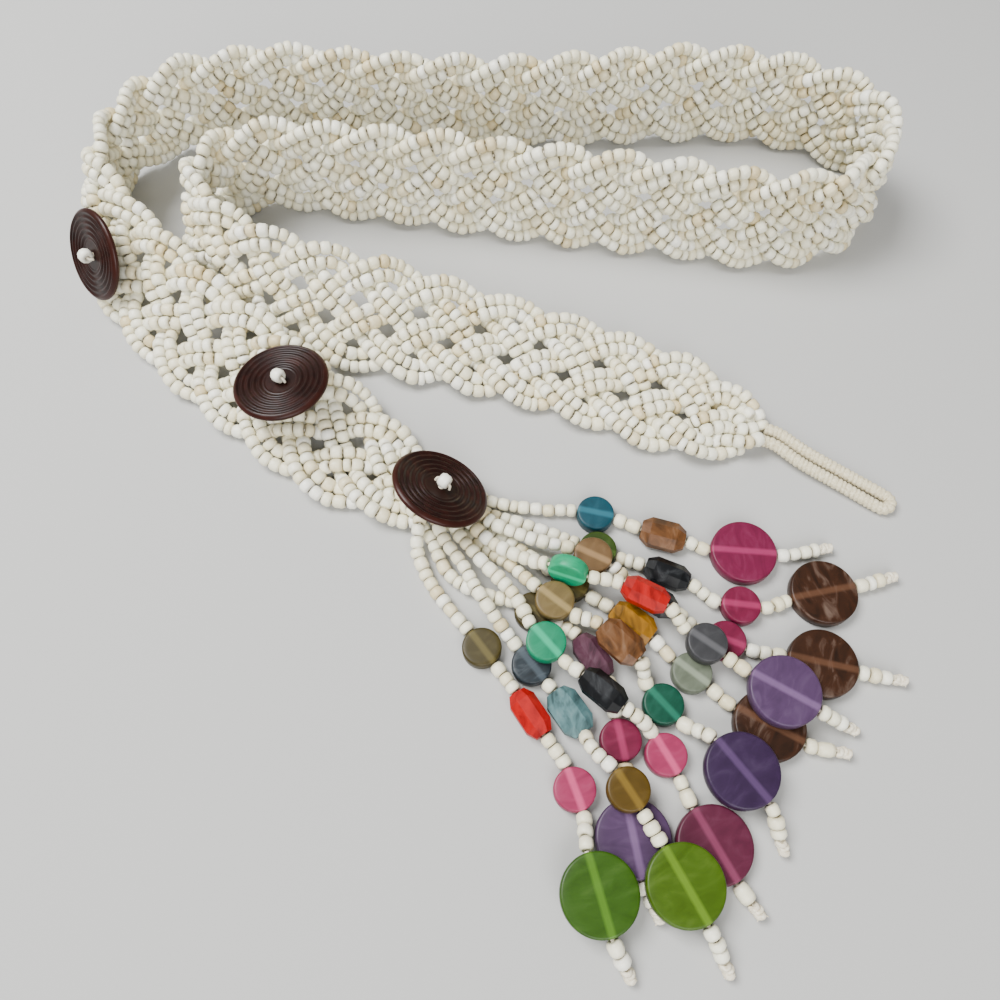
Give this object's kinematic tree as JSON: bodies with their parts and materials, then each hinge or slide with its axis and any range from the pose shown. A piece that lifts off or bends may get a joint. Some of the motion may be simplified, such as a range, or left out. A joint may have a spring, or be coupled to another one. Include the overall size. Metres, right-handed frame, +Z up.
{
  "type": "beaded belt",
  "caption": "Plaited seed bead belt laid in an S, with ridged shell buttons, a wound closing loop and a fringe of coloured disc and tube beads.",
  "frame": {"origin": "on the resting surface, under the middle of the belt's footprint", "axes": "+Z up from the surface, +X towards the closing loop's side, +Y from the fringe towards the back run"},
  "size_m": [0.2918, 0.2916, 0.0401],
  "materials": {
    "seed_beads": "opaque ivory seed beads on thread",
    "loop_thread": "off-white thread wound over cord",
    "shell": "dark turned coconut shell, satin",
    "bead_blue": "translucent glossy resin",
    "bead_amber": "translucent glossy resin",
    "bead_pink": "translucent glossy resin",
    "bead_moss": "translucent glossy resin",
    "bead_night": "translucent glossy resin",
    "bead_plum": "translucent glossy resin",
    "bead_brown": "translucent glossy resin",
    "bead_peach": "translucent glossy resin",
    "bead_smoke": "translucent glossy resin",
    "bead_jade": "translucent glossy resin",
    "bead_red": "translucent glossy resin",
    "bead_violet": "translucent glossy resin",
    "bead_tan": "translucent glossy resin",
    "bead_pine": "translucent glossy resin",
    "bead_indigo": "translucent glossy resin",
    "bead_olive": "translucent glossy resin",
    "bead_mustard": "translucent glossy resin",
    "bead_pearl": "translucent glossy resin",
    "bead_emerald": "translucent glossy resin",
    "bead_rose": "translucent glossy resin",
    "bead_wine": "translucent glossy resin",
    "bead_mauve": "translucent glossy resin",
    "bead_slate": "translucent glossy resin",
    "bead_teal": "translucent glossy resin",
    "bead_bronze": "translucent glossy resin",
    "bead_lime": "translucent glossy resin",
    "bead_green": "translucent glossy resin"
  },
  "bodies": {
    "root": {"band": "seed_beads", "wound_loop": "loop_thread", "button_1": "shell", "button_bead_1": "seed_beads", "button_2": "shell", "button_bead_2": "seed_beads", "button_3": "shell", "button_bead_3": "seed_beads", "string_01": "seed_beads", "small_disc_01_1": "bead_blue", "wide_tube_01_2": "bead_amber", "large_disc_01_3": "bead_pink", "string_02": "seed_beads", "small_disc_02_1": "bead_moss", "slim_tube_02_2": "bead_night", "small_disc_02_3": "bead_plum", "large_disc_02_4": "bead_brown", "string_03": "seed_beads", "small_disc_03_1": "bead_peach", "slim_tube_03_2": "bead_smoke", "small_disc_03_3": "bead_plum", "large_disc_03_4": "bead_brown", "string_04": "seed_beads", "small_disc_04_1": "bead_jade", "slim_tube_04_2": "bead_red", "small_disc_04_3": "bead_smoke", "large_disc_04_4": "bead_violet", "string_05": "seed_beads", "small_disc_05_1": "bead_tan", "wide_tube_05_2": "bead_amber", "small_disc_05_3": "bead_pine", "large_disc_05_4": "bead_indigo", "string_06": "seed_beads", "small_disc_06_1": "bead_olive", "wide_tube_06_2": "bead_mustard", "small_disc_06_3": "bead_pearl", "large_disc_06_4": "bead_brown", "string_07": "seed_beads", "small_disc_07_1": "bead_emerald", "slim_tube_07_2": "bead_night", "small_disc_07_3": "bead_rose", "large_disc_07_4": "bead_wine", "string_08": "seed_beads", "small_disc_08_1": "bead_olive", "slim_tube_08_2": "bead_mauve", "small_disc_08_3": "bead_plum", "large_disc_08_4": "bead_violet", "string_09": "seed_beads", "small_disc_09_1": "bead_slate", "wide_tube_09_2": "bead_teal", "small_disc_09_3": "bead_bronze", "large_disc_09_4": "bead_lime", "string_10": "seed_beads", "small_disc_10_1": "bead_olive", "slim_tube_10_2": "bead_red", "small_disc_10_3": "bead_rose", "large_disc_10_4": "bead_green"}
  },
  "joints": []
}
